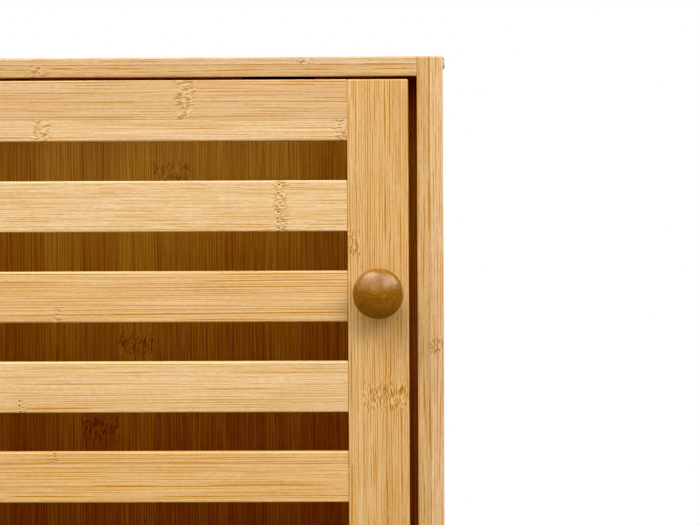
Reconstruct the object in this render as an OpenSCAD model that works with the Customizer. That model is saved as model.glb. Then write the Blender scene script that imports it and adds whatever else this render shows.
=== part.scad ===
// Bamboo floor cabinet with one slatted door.
// Origin: on the floor, in the middle of the space that the cabinet takes with its knob.
// +X is to the right as one faces the door, +Y to the rear, +Z up. Millimetres.

/* [Cabinet] */
// Width over the side panels
body_w = 400; // [360:1:600]
// Depth of the side panels
body_d = 300; // [220:1:400]
// Height over the top panel
body_h = 700; // [640:1:800]
// Thickness of the side panels
side_t = 18; // [12:1:22]
// Thickness of the top panel
top_t = 13.5; // [10:0.5:18]
// Thickness of the bottom panel
bottom_t = 12; // [10:1:18]
// Height of the bottom panel's underside above the floor
base_h = 58; // [50:1:110]
// Thickness of the back panel
back_t = 4; // [3:0.5:6]
// From the back panel to the rear edges
back_inset = 8; // [6:1:16]
// Depth of the grooves that hold the back panel
groove_d = 5; // [3:0.5:6]
// Rounding of the boards' edges
edge_r = 1; // [0.5:0.1:1.5]

/* [Base] */
// Height of the plinth rail and the rear rail
rail_low_h = 40; // [30:1:45]
// Thickness of the plinth rail and the rear rail
rail_low_t = 12; // [10:1:16]
// From the rails' upper and lower edges to their dowels and screws
rail_hole_inset = 11; // [7:1:12]
// From the front edges back to the plinth rail
plinth_inset = 18; // [10:1:40]
// Height of a foot glide
glide_h = 3; // [2:0.5:6]
// Length of a foot glide
glide_l = 32; // [20:1:50]
// Width of a foot glide
glide_w = 9; // [6:0.5:10]
// From the front and rear edges to the glides
glide_inset = 14; // [8:1:30]
// Diameter of a glide's stem
glide_stem_d = 4; // [3:0.5:6]
// Length of a glide's stem
glide_stem_l = 10; // [6:1:16]

/* [Shelf] */
// Thickness of the shelf
shelf_t = 10; // [8:1:16]
// Gap at each end of the shelf
shelf_gap = 1; // [0.6:0.1:3]
// From the door's back to the shelf's front edge
shelf_setback = 12; // [5:1:40]
// Which of the pin holes the shelf sits on, counted from below
shelf_hole = 4; // [1:1:7]
// Number of pin holes in a row
pin_holes = 7; // [7:1:9]
// Spacing of the pin holes
pin_pitch = 32; // [25:1:40]
// Lowest pin hole above the bottom panel
pin_low = 130; // [80:1:180]
// From the front and rear edges to the rows of pin holes
pin_inset = 60; // [55:1:80]
// Diameter of a shelf pin's stem
pin_d = 5; // [4:0.5:6]
// Length of a shelf pin's stem in the wood
pin_stem = 8; // [6:0.5:9]
// Diameter of a shelf pin's head
pin_head_d = 8; // [7:0.5:10]
// Length of a shelf pin's head
pin_head_l = 9; // [7:0.5:12]
// Depth of the flat that carries the shelf, below the top of the pin's head
pin_flat = 2; // [1:0.5:2.5]

/* [Door] */
// Thickness of the door's frame
door_t = 14; // [13:0.5:20]
// Width of a stile
stile_w = 42; // [36:1:60]
// Height of the top and bottom rails
rail_h = 42; // [34:1:60]
// Height of a slat
slat_h = 35; // [24:1:46]
// Thickness of a slat
slat_t = 10; // [9:0.5:12]
// Number of slats
slat_n = 8; // [6:1:9]
// How far the slats stand back from the frame's face
slat_inset = 0.4; // [0:0.1:1]
// Gap between the door and the top panel
gap_top = 2; // [1.5:0.1:4]
// Gap between the door and the bottom panel
gap_bottom = 2; // [1.5:0.1:4]
// Gap between the door and the right side panel
gap_latch = 6; // [2:0.1:8]

/* [Joinery] */
// Thickness of the tenons
tenon_t = 6; // [5:0.5:7]
// Length of a slat's tenon
slat_tenon_l = 9; // [6:1:14]
// Length of a rail's tenon
rail_tenon_l = 24; // [15:1:28]
// Shoulder above and below a slat's tenon
slat_shoulder = 4; // [3:0.5:6]
// Shoulder above and below a rail's tenon
rail_shoulder = 7; // [5:0.5:9]
// Glue gap round a tenon or a dowel
glue_gap = 0.1; // [0.05:0.05:0.2]
// Diameter of a dowel
dowel_d = 6; // [5:0.5:6]
// Length of a dowel
dowel_l = 24; // [20:1:30]
// How deep a dowel goes into the side panel
dowel_side = 8; // [6:0.5:9]
// From the front edges to the front dowels
dowel_inset = 40; // [36:1:50]

/* [Screws] */
// Diameter of a connecting screw's head
screw_head_d = 10; // [9:0.5:10.5]
// Height of a connecting screw's head
screw_head_h = 2.2; // [1.5:0.1:3]
// Width across the flats of its hexagon socket
screw_socket = 4; // [3:0.5:4]
// Depth of that socket
screw_socket_h = 1.6; // [1:0.1:2]
// Diameter of a connecting screw's shank
screw_d = 5; // [4:0.5:6]
// Length of a connecting screw under its head
screw_l = 45; // [35:1:55]
// From the rear edges to the rear screws
screw_inset = 50; // [40:1:60]
// From the top panel's upper face down to its screws
top_screw_drop = 5.5; // [5:0.25:7]
// Clearance between a screw or pin and its hole
hole_gap = 0.1; // [0.05:0.05:0.2]

/* [Knob] */
// Diameter of the knob's head
knob_d = 35; // [28:1:40]
// How far the knob stands out from the door
knob_reach = 24; // [22:0.5:27]
// Radius of the head's rim
knob_rim_r = 4.5; // [3:0.5:5]
// Length of the knob's neck
knob_neck_l = 10; // [8:0.5:11]
// Diameter of the neck at its waist
knob_neck_d = 14; // [12:0.5:16]
// How much rounder the neck's hollow is than half its length
knob_cove = 1; // [0.5:0.1:3]
// From the door's top edge to the knob's centre
knob_drop = 147; // [100:1:220]
// Diameter of the knob's screw
knob_screw_d = 4; // [3:0.5:5]
// How deep the knob's screw goes into the knob
knob_screw_in = 10; // [8:0.5:12]
// Diameter of the knob screw's head
knob_screw_head_d = 8; // [7:0.5:10]
// Height of the knob screw's head
knob_screw_head_h = 2.4; // [1.5:0.1:3]

/* [Hinges] */
// Length of a hinge
hinge_l = 50; // [40:1:70]
// Width of a hinge leaf on the wood
leaf_w = 12; // [10:0.5:12.5]
// Thickness of a hinge leaf
leaf_t = 1; // [0.8:0.1:1.2]
// Gap between the closed leaves
leaf_gap = 0.2; // [0.1:0.05:0.4]
// Diameter of the hinge's barrel
barrel_d = 5; // [4.6:0.1:6]
// Gap between the barrel and the wood's front faces
barrel_gap = 0.3; // [0.2:0.1:0.8]
// Diameter of the hinge pin
hinge_pin_d = 2.4; // [2:0.1:2.6]
// Running clearance round the hinge pin
hinge_pin_gap = 0.05; // [0.03:0.01:0.1]
// Number of knuckles
knuckles = 5; // [3:2:5]
// Gap between knuckles
knuckle_gap = 0.2; // [0.1:0.05:0.4]
// Height of a hinge pin's heads
hinge_pin_head_h = 0.8; // [0.5:0.1:1.5]
// How far the barrel stands out round those heads
hinge_pin_rim = 0.4; // [0.2:0.1:0.6]
// From the door's top and bottom edges to a hinge's middle
hinge_inset = 90; // [50:1:130]
// Diameter of a hinge screw's head
hinge_screw_head_d = 5.2; // [4.5:0.1:5.5]
// Diameter of a hinge screw's shank
hinge_screw_d = 2.6; // [2:0.1:3]
// Length of a hinge screw
hinge_screw_l = 10; // [8:0.5:11]
// From a hinge's ends to its screws
hinge_screw_inset = 12; // [8:1:14]

/* [Catch] */
// Width of the catch's housing between its ears
catch_w = 30; // [24:1:40]
// Depth of the catch's housing
catch_d = 15; // [12:1:20]
// Height of the catch's housing
catch_h = 15; // [13:1:18]
// Length of each ear
catch_ear = 10; // [9:0.5:14]
// Thickness of the ears
catch_ear_t = 3; // [2:0.5:4]
// Wall of the housing
catch_wall = 2; // [1.5:0.1:3]
// Thickness of the magnet
magnet_t = 5; // [4:0.5:6]
// Thickness of a pole plate
pole_t = 1.2; // [0.8:0.1:1.5]
// How far the pole plates stand out of the housing
pole_out = 0.6; // [0.3:0.1:1.5]
// From the catch's middle to the right stile's inner edge
catch_inset = 48; // [40:1:90]
// Diameter of a catch screw's head
catch_screw_head_d = 5.6; // [5:0.1:6]
// Height of a catch screw's head
catch_screw_head_h = 1.8; // [1:0.1:2.5]
// Diameter of a catch screw's shank
catch_screw_d = 2.6; // [2:0.1:3]
// Depth of a catch screw in the top panel
catch_screw_in = 6; // [4:0.5:8]
// Width of the strike plate
strike_w = 40; // [34:1:50]
// Height of the strike plate
strike_h = 11; // [9:0.5:13]
// Thickness of the strike plate
strike_t = 1; // [0.8:0.1:1.5]
// From the strike plate's ends to its holes
strike_hole_inset = 5; // [4.5:0.5:8]
// Rounding of the strike plate's and the ears' corners
plate_r = 2; // [1:0.5:4]
// Gap between the closed strike plate and the poles
strike_gap = 0.3; // [0.2:0.05:0.6]
// Depth of a strike screw in the door
strike_screw_in = 8; // [5:0.5:10]

/* [Hidden] */
$fn = 64;
bamboo = "#dcb37a";
bamboo_edge = "#d9ad71";
stained = "#9a6220";
steel = "#b9bcc0";
dark_steel = "#77797c";
plastic = "#4e321e";

cut = 1; // how far a cutting solid runs past the face that it opens
seat_gap = 0.3; // slack at the bottom of a groove or blind hole

// Knob profile, out from the door's face: the dome meets the rim's arc at dome_x
rim_x = knob_d / 2 - knob_rim_r;
rim_y = knob_neck_l + knob_rim_r;
crown = knob_reach - rim_y;
dome_r = (pow(rim_x, 2) + pow(crown, 2) - pow(knob_rim_r, 2)) / (2 * (crown - knob_rim_r));
dome_x = rim_x * dome_r / (dome_r - knob_rim_r);

// Heights
floor_z = base_h + bottom_t;
top_z = body_h - top_t;
door_z = floor_z + gap_bottom;
door_h = top_z - gap_top - door_z;
slat_gap = (door_h - 2 * rail_h - slat_n * slat_h) / (slat_n + 1);

// Depths, with the knob's reach in front
front_y = -(body_d - knob_reach) / 2;
rear_y = front_y + body_d;
door_back_y = front_y + door_t;
back_y = rear_y - back_inset - back_t;

// Widths
inner_w = body_w - 2 * side_t;
inner_x = inner_w / 2;
hinge_side_gap = 2 * leaf_t + leaf_gap;
door_x = -inner_x + hinge_side_gap;
door_w = inner_w - hinge_side_gap - gap_latch;
door_x2 = door_x + door_w;
opening_w = door_w - 2 * stile_w;

// Knob's centre
knob_x = door_x2 - stile_w / 2;
knob_z = door_z + door_h - knob_drop;

// Shelf
shelf_y = door_back_y + shelf_setback;
shelf_d = back_y - shelf_gap - shelf_y;
pin_z = floor_z + pin_low + (shelf_hole - 1) * pin_pitch;
shelf_z = pin_z + pin_head_d / 2 - pin_flat;
pin_collar = shelf_gap - seat_gap;

// Hinge axis, just in front of the closed gap
barrel_r = barrel_d / 2;
axis_x = -inner_x + hinge_side_gap / 2;
axis_y = front_y - barrel_gap - barrel_r;
hinge_z = [door_z + hinge_inset - hinge_l / 2, door_z + door_h - hinge_inset - hinge_l / 2];
hinge_pin_bore_r = hinge_pin_d / 2 + hinge_pin_gap;
leaf_screw_y = front_y + leaf_w / 2;
hinge_screw_in = hinge_screw_l - leaf_t + seat_gap;
leaf_screw_z = [hinge_screw_inset, hinge_l - hinge_screw_inset];

// Catch and strike plate
pocket_h = magnet_t + 2 * pole_t + 2 * hole_gap;
catch_x = door_x2 - stile_w - catch_inset;
pole_y = door_back_y + strike_t + strike_gap;
catch_y = pole_y + pole_out;
catch_z = top_z - catch_h;
pocket_z = catch_z + catch_wall;
magnet_z = pocket_z + hole_gap + pole_t;
magnet_w = catch_w - 2 * catch_wall - 2 * hole_gap;
magnet_d = catch_d - catch_wall - hole_gap;
catch_screw_x = catch_w / 2 + catch_ear / 2;
strike_z = magnet_z + magnet_t / 2 - strike_h / 2;
strike_screw_x = strike_w / 2 - strike_hole_inset;

// Rails under the bottom panel
rail_low_z = base_h - rail_low_h;
plinth_y = front_y + plinth_inset;
rear_rail_y = back_y + back_t - rail_low_t;
rail_dowel_z = rail_low_z + rail_low_h - rail_hole_inset;
rail_screw_z = rail_low_z + rail_hole_inset;

// Where screws and dowels pass from a side panel into an end: [y, z]
screw_spots = [
  [rear_y - screw_inset, body_h - top_screw_drop],
  [rear_y - screw_inset, base_h + bottom_t / 2],
  [plinth_y + rail_low_t / 2, rail_screw_z],
  [rear_rail_y + rail_low_t / 2, rail_screw_z]
];
dowel_spots = [
  [front_y + dowel_inset, top_z + top_t / 2],
  [front_y + dowel_inset, base_h + bottom_t / 2],
  [plinth_y + rail_low_t / 2, rail_dowel_z],
  [rear_rail_y + rail_low_t / 2, rail_dowel_z]
];
pin_rows = [front_y + pin_inset, rear_y - pin_inset];
glide_spots = [front_y + glide_inset, rear_y - glide_inset - glide_l];

slat_names = [for (i = [1 : slat_n]) str("slat_", i)];

// A rectangle whose corners are true arcs
module soft_rect(w, h, r = edge_r) {
  translate([r, 0]) square([w - 2 * r, h]);
  translate([0, r]) square([w, h - 2 * r]);
  for (x = [r, w - r]) for (y = [r, h - r]) translate([x, y]) circle(r);
}

// A board with all twelve edges eased
module board(size, r = edge_r) {
  intersection() {
    translate([0, 0, -cut]) linear_extrude(size.z + 2 * cut) soft_rect(size.x, size.y, r);
    translate([0, size.y + cut, 0]) rotate([90, 0, 0])
      linear_extrude(size.y + 2 * cut) soft_rect(size.x, size.z, r);
    translate([-cut, 0, 0]) rotate([90, 0, 90])
      linear_extrude(size.x + 2 * cut) soft_rect(size.y, size.z, r);
  }
}

// A board whose ends butt against others, with only its long edges eased
module butt_board(size, r = edge_r) {
  rotate([90, 0, 90]) linear_extrude(size.x) soft_rect(size.y, size.z, r);
}

// A cylinder along X from x to x + l
module rod_x(x, y, z, l, d) {
  translate([x, y, z]) rotate([0, 90, 0]) cylinder(h = l, d = d);
}

// A cylinder along Y from y to y + l
module rod_y(x, y, z, l, d) {
  translate([x, y, z]) rotate([-90, 0, 0]) cylinder(h = l, d = d);
}

// Side panels

// A side panel with its outer face at x = 0 and its inner face at x = side_t
module side_blank() {
  back_slot_z = floor_z - groove_d;
  difference() {
    translate([0, front_y, glide_h]) board([side_t, body_d, body_h - glide_h]);
    translate([side_t - groove_d, back_y - glue_gap, back_slot_z])
      cube([groove_d + cut, back_t + 2 * glue_gap, top_z + groove_d - back_slot_z]);
    for (y = pin_rows) for (i = [0 : pin_holes - 1])
      rod_x(side_t - pin_stem - seat_gap, y, floor_z + pin_low + i * pin_pitch,
            pin_stem + seat_gap + cut, pin_d + 2 * hole_gap);
    for (s = dowel_spots)
      rod_x(side_t - dowel_side - seat_gap, s.x, s.y, dowel_side + seat_gap + cut,
            dowel_d + 2 * glue_gap);
    for (s = screw_spots)
      rod_x(-cut, s.x, s.y, side_t + 2 * cut, screw_d + 2 * hole_gap);
    for (y = glide_spots)
      translate([side_t / 2, y + glide_l / 2, glide_h - cut])
        cylinder(h = glide_stem_l + seat_gap + cut, d = glide_stem_d + 2 * hole_gap);
  }
}

module side_left() {
  color(bamboo_edge) difference() {
    translate([-body_w / 2, 0, 0]) side_blank();
    for (z = hinge_z) for (dz = leaf_screw_z)
      rod_x(-inner_x - hinge_screw_in, leaf_screw_y, z + dz, hinge_screw_in + cut,
            hinge_screw_d + 2 * hole_gap);
  }
}

module side_right() {
  color(bamboo_edge) translate([body_w / 2, 0, 0]) mirror([1, 0, 0]) side_blank();
}

// Holes in the end grain of a panel or rail between the sides, at both ends
module end_holes(screws, dowels) {
  dowel_in = dowel_l - dowel_side + seat_gap;
  screw_in = screw_l - side_t + seat_gap;
  for (m = [0, 1]) mirror([m, 0, 0]) {
    for (s = screws)
      rod_x(inner_x - screw_in, s.x, s.y, screw_in + cut, screw_d + 2 * hole_gap);
    for (s = dowels)
      rod_x(inner_x - dowel_in, s.x, s.y, dowel_in + cut, dowel_d + 2 * glue_gap);
  }
}

module back_groove(z) {
  translate([-inner_x - cut, back_y - glue_gap, z])
    cube([inner_w + 2 * cut, back_t + 2 * glue_gap, groove_d + cut]);
}

module top_panel() {
  color(bamboo) difference() {
    translate([-inner_x, front_y, top_z]) butt_board([inner_w, body_d, top_t]);
    back_groove(top_z - cut);
    end_holes([screw_spots[0]], [dowel_spots[0]]);
    for (x = [-catch_screw_x, catch_screw_x])
      translate([catch_x + x, catch_y + catch_d / 2, top_z - cut])
        cylinder(h = catch_screw_in + cut + seat_gap, d = catch_screw_d + 2 * hole_gap);
  }
}

module bottom_panel() {
  color(bamboo) difference() {
    translate([-inner_x, front_y, base_h]) butt_board([inner_w, body_d, bottom_t]);
    back_groove(floor_z - groove_d);
    end_holes([screw_spots[1]], [dowel_spots[1]]);
  }
}

module back_panel() {
  reach = groove_d - seat_gap;
  color(bamboo) translate([-inner_x - reach, back_y, floor_z - groove_d])
    cube([inner_w + 2 * reach, back_t, top_z - floor_z + groove_d + reach]);
}

module shelf() {
  color(bamboo) translate([-inner_x + shelf_gap, shelf_y, shelf_z])
    board([inner_w - 2 * shelf_gap, shelf_d, shelf_t]);
}

// A stem in the side panel and a head with a flat on top, for one shelf corner
module shelf_pin() {
  rod_x(-pin_stem, 0, 0, pin_stem + cut, pin_d);
  difference() {
    rotate([0, 90, 0]) rotate_extrude() {
      square([pin_head_d / 2, pin_head_l - edge_r]);
      square([pin_head_d / 2 - edge_r, pin_head_l]);
      translate([pin_head_d / 2 - edge_r, pin_head_l - edge_r]) circle(edge_r);
    }
    translate([pin_collar, -pin_head_d, pin_head_d / 2 - pin_flat])
      cube([pin_head_l, 2 * pin_head_d, pin_head_d]);
  }
}

module shelf_pins() {
  color(steel) for (m = [0, 1]) mirror([m, 0, 0]) for (y = pin_rows)
    translate([-inner_x, y, pin_z]) shelf_pin();
}

// Rails under the bottom panel

module plinth_rail() {
  color(bamboo) difference() {
    translate([-inner_x, plinth_y, rail_low_z]) butt_board([inner_w, rail_low_t, rail_low_h]);
    end_holes([screw_spots[2]], [dowel_spots[2]]);
  }
}

module rear_rail() {
  color(bamboo) difference() {
    translate([-inner_x, rear_rail_y, rail_low_z]) butt_board([inner_w, rail_low_t, rail_low_h]);
    end_holes([screw_spots[3]], [dowel_spots[3]]);
  }
}

module dowels() {
  color(bamboo_edge) for (m = [0, 1]) mirror([m, 0, 0]) for (s = dowel_spots)
    rod_x(inner_x - dowel_l + dowel_side, s.x, s.y, dowel_l, dowel_d);
}

// A domed head with a hexagon socket, lying along +X with its seat at x = 0
module side_screw() {
  ball_r = (pow(screw_head_d / 2, 2) + pow(screw_head_h, 2)) / (2 * screw_head_h);
  rod_x(0, 0, 0, screw_l, screw_d);
  difference() {
    rotate([0, -90, 0]) rotate_extrude() intersection() {
      translate([0, screw_head_h - ball_r]) circle(ball_r);
      square([screw_head_d, screw_head_h]);
    }
    translate([-screw_head_h - cut, 0, 0]) rotate([0, 90, 0])
      cylinder(h = cut + screw_socket_h, d = screw_socket / cos(30), $fn = 6);
  }
}

module side_screws_left() {
  color(dark_steel) for (s = screw_spots) translate([-body_w / 2, s.x, s.y]) side_screw();
}

module side_screws_right() {
  color(dark_steel) mirror([1, 0, 0]) for (s = screw_spots)
    translate([-body_w / 2, s.x, s.y]) side_screw();
}

// A glide under each corner, with a stem up into the side panel
module foot_glides() {
  color(dark_steel) for (m = [0, 1]) mirror([m, 0, 0]) for (y = glide_spots)
    translate([inner_x + side_t / 2, y, 0]) {
      translate([-glide_w / 2, 0, 0]) linear_extrude(glide_h) soft_rect(glide_w, glide_l);
      translate([0, glide_l / 2, 0]) cylinder(h = glide_h + glide_stem_l, d = glide_stem_d);
    }
}

// Magnetic catch under the top panel

module catch_housing() {
  ear_z = catch_h - catch_ear_t;
  span = catch_w + 2 * catch_ear;
  color(plastic) translate([catch_x - span / 2, catch_y, catch_z]) difference() {
    union() {
      translate([catch_ear, 0, 0]) board([catch_w, catch_d, catch_h]);
      translate([0, 0, ear_z]) linear_extrude(catch_ear_t) soft_rect(span, catch_d, plate_r);
    }
    translate([catch_ear + catch_wall, -cut, catch_wall])
      cube([catch_w - 2 * catch_wall, catch_d - catch_wall + cut, pocket_h]);
    for (x = [-catch_screw_x, catch_screw_x])
      translate([span / 2 + x, catch_d / 2, ear_z - cut])
        cylinder(h = catch_ear_t + 2 * cut, d = catch_screw_d + 2 * hole_gap);
  }
}

module catch_magnet() {
  color(dark_steel) translate([catch_x - magnet_w / 2, catch_y + hole_gap, magnet_z])
    cube([magnet_w, magnet_d - hole_gap, magnet_t]);
}

module catch_pole_plates() {
  color(steel) for (z = [magnet_z - pole_t, magnet_z + magnet_t])
    translate([catch_x - magnet_w / 2, pole_y, z])
      cube([magnet_w, magnet_d + pole_out, pole_t]);
}

// A domed screw whose head hangs below z = 0 and whose shank rises above it
module pan_screw(head_d, head_h, d, l) {
  ball_r = (pow(head_d / 2, 2) + pow(head_h, 2)) / (2 * head_h);
  cylinder(h = l, d = d);
  rotate([180, 0, 0]) rotate_extrude() intersection() {
    translate([0, head_h - ball_r]) circle(ball_r);
    square([head_d, head_h]);
  }
}

module catch_screws() {
  color(steel) for (x = [-catch_screw_x, catch_screw_x])
    translate([catch_x + x, catch_y + catch_d / 2, top_z - catch_ear_t])
      pan_screw(catch_screw_head_d, catch_screw_head_h, catch_screw_d,
                catch_ear_t + catch_screw_in);
}

// Butt hinges

// Frame leaf for side = -1, door leaf for side = 1, standing on z = 0
module hinge_leaf(side) {
  knuckle_l = hinge_l / knuckles;
  plate_x = side < 0 ? -inner_x : door_x - leaf_t;
  first = side < 0 ? 0 : 1;
  bridge_y = (barrel_r + hinge_pin_bore_r) / 2;
  difference() {
    union() {
      translate([plate_x, front_y, 0]) cube([leaf_t, leaf_w, hinge_l]);
      for (k = [first : 2 : knuckles - 1]) {
        low = k == 0 ? 0 : knuckle_gap / 2;
        high = k == knuckles - 1 ? 0 : knuckle_gap / 2;
        translate([0, 0, k * knuckle_l + low]) {
          translate([axis_x, axis_y, 0]) cylinder(h = knuckle_l - low - high, d = barrel_d);
          translate([plate_x, axis_y + bridge_y, 0])
            cube([leaf_t, front_y - axis_y - bridge_y + cut, knuckle_l - low - high]);
        }
      }
    }
    translate([axis_x, axis_y, -cut]) cylinder(h = hinge_l + 2 * cut, r = hinge_pin_bore_r);
    for (z = leaf_screw_z) translate([side < 0 ? plate_x + leaf_t : plate_x, leaf_screw_y, z])
      rotate([0, side * 90, 0]) countersink(leaf_t);
  }
}

// The hole for a countersunk screw through a plate of thickness t, wide at z = 0
module countersink(t) {
  wide = hinge_screw_head_d + 2 * hole_gap;
  narrow = hinge_screw_d + 2 * hole_gap;
  translate([0, 0, -cut]) cylinder(h = cut, d = wide);
  cylinder(h = t, d1 = wide, d2 = narrow);
  translate([0, 0, t]) cylinder(h = cut, d = narrow);
}

// A countersunk screw along -X from its head's face at x = 0
module flat_screw(head_d, head_h, d, l) {
  rotate([0, -90, 0]) {
    cylinder(h = head_h, d1 = head_d, d2 = d);
    cylinder(h = l, d = d);
  }
}

module hinge_pin() {
  head_d = barrel_d - 2 * hinge_pin_rim;
  translate([axis_x, axis_y, -hinge_pin_head_h]) {
    cylinder(h = hinge_l + 2 * hinge_pin_head_h, d = hinge_pin_d);
    for (z = [0, hinge_l + hinge_pin_head_h]) translate([0, 0, z])
      cylinder(h = hinge_pin_head_h, d = head_d);
  }
}

module hinge_lower_frame_leaf() { color(steel) translate([0, 0, hinge_z[0]]) hinge_leaf(-1); }
module hinge_upper_frame_leaf() { color(steel) translate([0, 0, hinge_z[1]]) hinge_leaf(-1); }
module hinge_lower_door_leaf() { color(steel) translate([0, 0, hinge_z[0]]) hinge_leaf(1); }
module hinge_upper_door_leaf() { color(steel) translate([0, 0, hinge_z[1]]) hinge_leaf(1); }
module hinge_lower_pin() { color(dark_steel) translate([0, 0, hinge_z[0]]) hinge_pin(); }
module hinge_upper_pin() { color(dark_steel) translate([0, 0, hinge_z[1]]) hinge_pin(); }

module hinge_screws_frame() {
  color(dark_steel) for (z = hinge_z) for (dz = leaf_screw_z)
    translate([-inner_x + leaf_t, leaf_screw_y, z + dz])
      flat_screw(hinge_screw_head_d, leaf_t, hinge_screw_d, hinge_screw_l);
}

module hinge_screws_door() {
  color(dark_steel) for (z = hinge_z) for (dz = leaf_screw_z)
    translate([door_x - leaf_t, leaf_screw_y, z + dz]) mirror([1, 0, 0])
      flat_screw(hinge_screw_head_d, leaf_t, hinge_screw_d, hinge_screw_l);
}

// Door

// Underside of slat i, counted from the top
function slat_z(i) = door_z + door_h - rail_h - i * (slat_gap + slat_h);

// A stile with its outer edge at x = 0 and its mortises opening at x = stile_w
module stile_blank() {
  translate([0, front_y, door_z]) difference() {
    board([stile_w, door_t, door_h]);
    for (z = [0, door_h - rail_h])
      mortise(door_t / 2, z + rail_shoulder, rail_tenon_l, rail_h - 2 * rail_shoulder);
    for (i = [1 : slat_n])
      mortise(slat_inset + slat_t / 2, slat_z(i) - door_z + slat_shoulder, slat_tenon_l,
              slat_h - 2 * slat_shoulder);
  }
}

// A pocket for a tenon of length l and height h, centred on depth y
module mortise(y, z, l, h) {
  translate([stile_w - l - seat_gap, y - tenon_t / 2 - glue_gap, z - glue_gap])
    cube([l + seat_gap + cut, tenon_t + 2 * glue_gap, h + 2 * glue_gap]);
}

module door_stile_left() {
  color(bamboo) difference() {
    translate([door_x, 0, 0]) stile_blank();
    for (z = hinge_z) for (dz = leaf_screw_z)
      rod_x(door_x - cut, leaf_screw_y, z + dz, hinge_screw_in + cut,
            hinge_screw_d + 2 * hole_gap);
  }
}

module door_stile_right() {
  color(bamboo) difference() {
    translate([door_x2, 0, 0]) mirror([1, 0, 0]) stile_blank();
    rod_y(knob_x, front_y - cut, knob_z, door_t + 2 * cut, knob_screw_d + 2 * hole_gap);
  }
}

// A board between the stiles with a tenon at each end, its lower left corner at [y, z]
module tenoned(y, z, t, h, shoulder, tenon_l) {
  translate([door_x + stile_w, y, z]) {
    board([opening_w, t, h]);
    translate([-tenon_l, t / 2 - tenon_t / 2, shoulder])
      cube([opening_w + 2 * tenon_l, tenon_t, h - 2 * shoulder]);
  }
}

module door_rail_top() {
  color(bamboo) difference() {
    tenoned(front_y, door_z + door_h - rail_h, door_t, rail_h, rail_shoulder, rail_tenon_l);
    for (x = [-strike_screw_x, strike_screw_x])
      rod_y(catch_x + x, door_back_y - strike_screw_in - seat_gap, strike_z + strike_h / 2,
            strike_screw_in + seat_gap + cut, hinge_screw_d + 2 * hole_gap);
  }
}

module door_rail_bottom() {
  color(bamboo) tenoned(front_y, door_z, door_t, rail_h, rail_shoulder, rail_tenon_l);
}

module slat(i) {
  color(bamboo) tenoned(front_y + slat_inset, slat_z(i), slat_t, slat_h, slat_shoulder,
                        slat_tenon_l);
}

// The turned profile: a waisted neck and a head whose rim and dome meet smoothly
module knob_profile() {
  waist = knob_neck_d / 2;
  cove_r = knob_neck_l / 2 + knob_cove;
  difference() {
    square([waist + cove_r, knob_neck_l]);
    translate([waist + cove_r, knob_neck_l / 2]) circle(cove_r);
  }
  translate([0, knob_neck_l]) square([rim_x, knob_rim_r]);
  translate([rim_x, rim_y]) circle(knob_rim_r);
  intersection() {
    translate([0, knob_reach - dome_r]) circle(dome_r);
    translate([0, rim_y - knob_rim_r / 2]) square([dome_x, knob_reach]);
  }
}

module knob() {
  color(stained) difference() {
    translate([knob_x, front_y, knob_z]) rotate([90, 0, 0]) rotate_extrude() knob_profile();
    rod_y(knob_x, front_y - knob_screw_in - seat_gap, knob_z, knob_screw_in + seat_gap + cut,
          knob_screw_d + 2 * hole_gap);
  }
}

module knob_screw() {
  color(steel) translate([knob_x, door_back_y, knob_z]) rotate([90, 0, 0])
    pan_screw(knob_screw_head_d, knob_screw_head_h, knob_screw_d, door_t + knob_screw_in);
}

module strike_plate() {
  color(steel) difference() {
    translate([catch_x - strike_w / 2, door_back_y + strike_t, strike_z]) rotate([90, 0, 0])
      linear_extrude(strike_t) soft_rect(strike_w, strike_h, plate_r);
    for (x = [-strike_screw_x, strike_screw_x])
      translate([catch_x + x, door_back_y + strike_t, strike_z + strike_h / 2])
        rotate([90, 0, 0]) countersink(strike_t);
  }
}

module strike_screws() {
  color(dark_steel) for (x = [-strike_screw_x, strike_screw_x])
    translate([catch_x + x, door_back_y + strike_t, strike_z + strike_h / 2])
      rotate([0, 0, 90]) flat_screw(hinge_screw_head_d, strike_t, hinge_screw_d,
                                    strike_t + strike_screw_in);
}

side_left();
side_right();
top_panel();
bottom_panel();
back_panel();
shelf();
shelf_pins();
plinth_rail();
rear_rail();
dowels();
side_screws_left();
side_screws_right();
foot_glides();
catch_housing();
catch_magnet();
catch_pole_plates();
catch_screws();
hinge_upper_frame_leaf();
hinge_upper_pin();
hinge_lower_frame_leaf();
hinge_lower_pin();
hinge_screws_frame();
door_stile_left();
door_stile_right();
door_rail_top();
door_rail_bottom();
for (i = [1 : slat_n]) slat(i);
knob();
knob_screw();
strike_plate();
strike_screws();
hinge_upper_door_leaf();
hinge_lower_door_leaf();
hinge_screws_door();
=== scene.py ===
# A bamboo cabinet with a slatted door, dressed over its CAD model. Lengths are metres.
import math
import bmesh
import bpy
from mathutils import Matrix, Vector


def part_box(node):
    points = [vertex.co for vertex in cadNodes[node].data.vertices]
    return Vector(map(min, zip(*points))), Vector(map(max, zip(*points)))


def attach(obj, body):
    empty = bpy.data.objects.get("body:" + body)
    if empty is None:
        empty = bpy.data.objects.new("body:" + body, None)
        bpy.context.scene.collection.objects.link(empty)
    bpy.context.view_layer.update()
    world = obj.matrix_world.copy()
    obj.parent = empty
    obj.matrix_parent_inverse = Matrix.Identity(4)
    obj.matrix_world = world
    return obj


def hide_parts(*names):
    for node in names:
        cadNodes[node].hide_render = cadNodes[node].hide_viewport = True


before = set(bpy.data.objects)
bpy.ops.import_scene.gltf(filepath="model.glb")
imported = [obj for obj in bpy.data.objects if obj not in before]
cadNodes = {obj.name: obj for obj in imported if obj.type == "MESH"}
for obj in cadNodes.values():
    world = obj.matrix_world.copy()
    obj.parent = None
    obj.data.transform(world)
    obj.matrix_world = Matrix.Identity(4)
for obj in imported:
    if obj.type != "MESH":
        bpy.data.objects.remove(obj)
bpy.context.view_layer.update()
mm = 0.001
tiny = 0.001 * mm  # for comparing heights
print("frame:", len(cadNodes), "CAD nodes")


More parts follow.
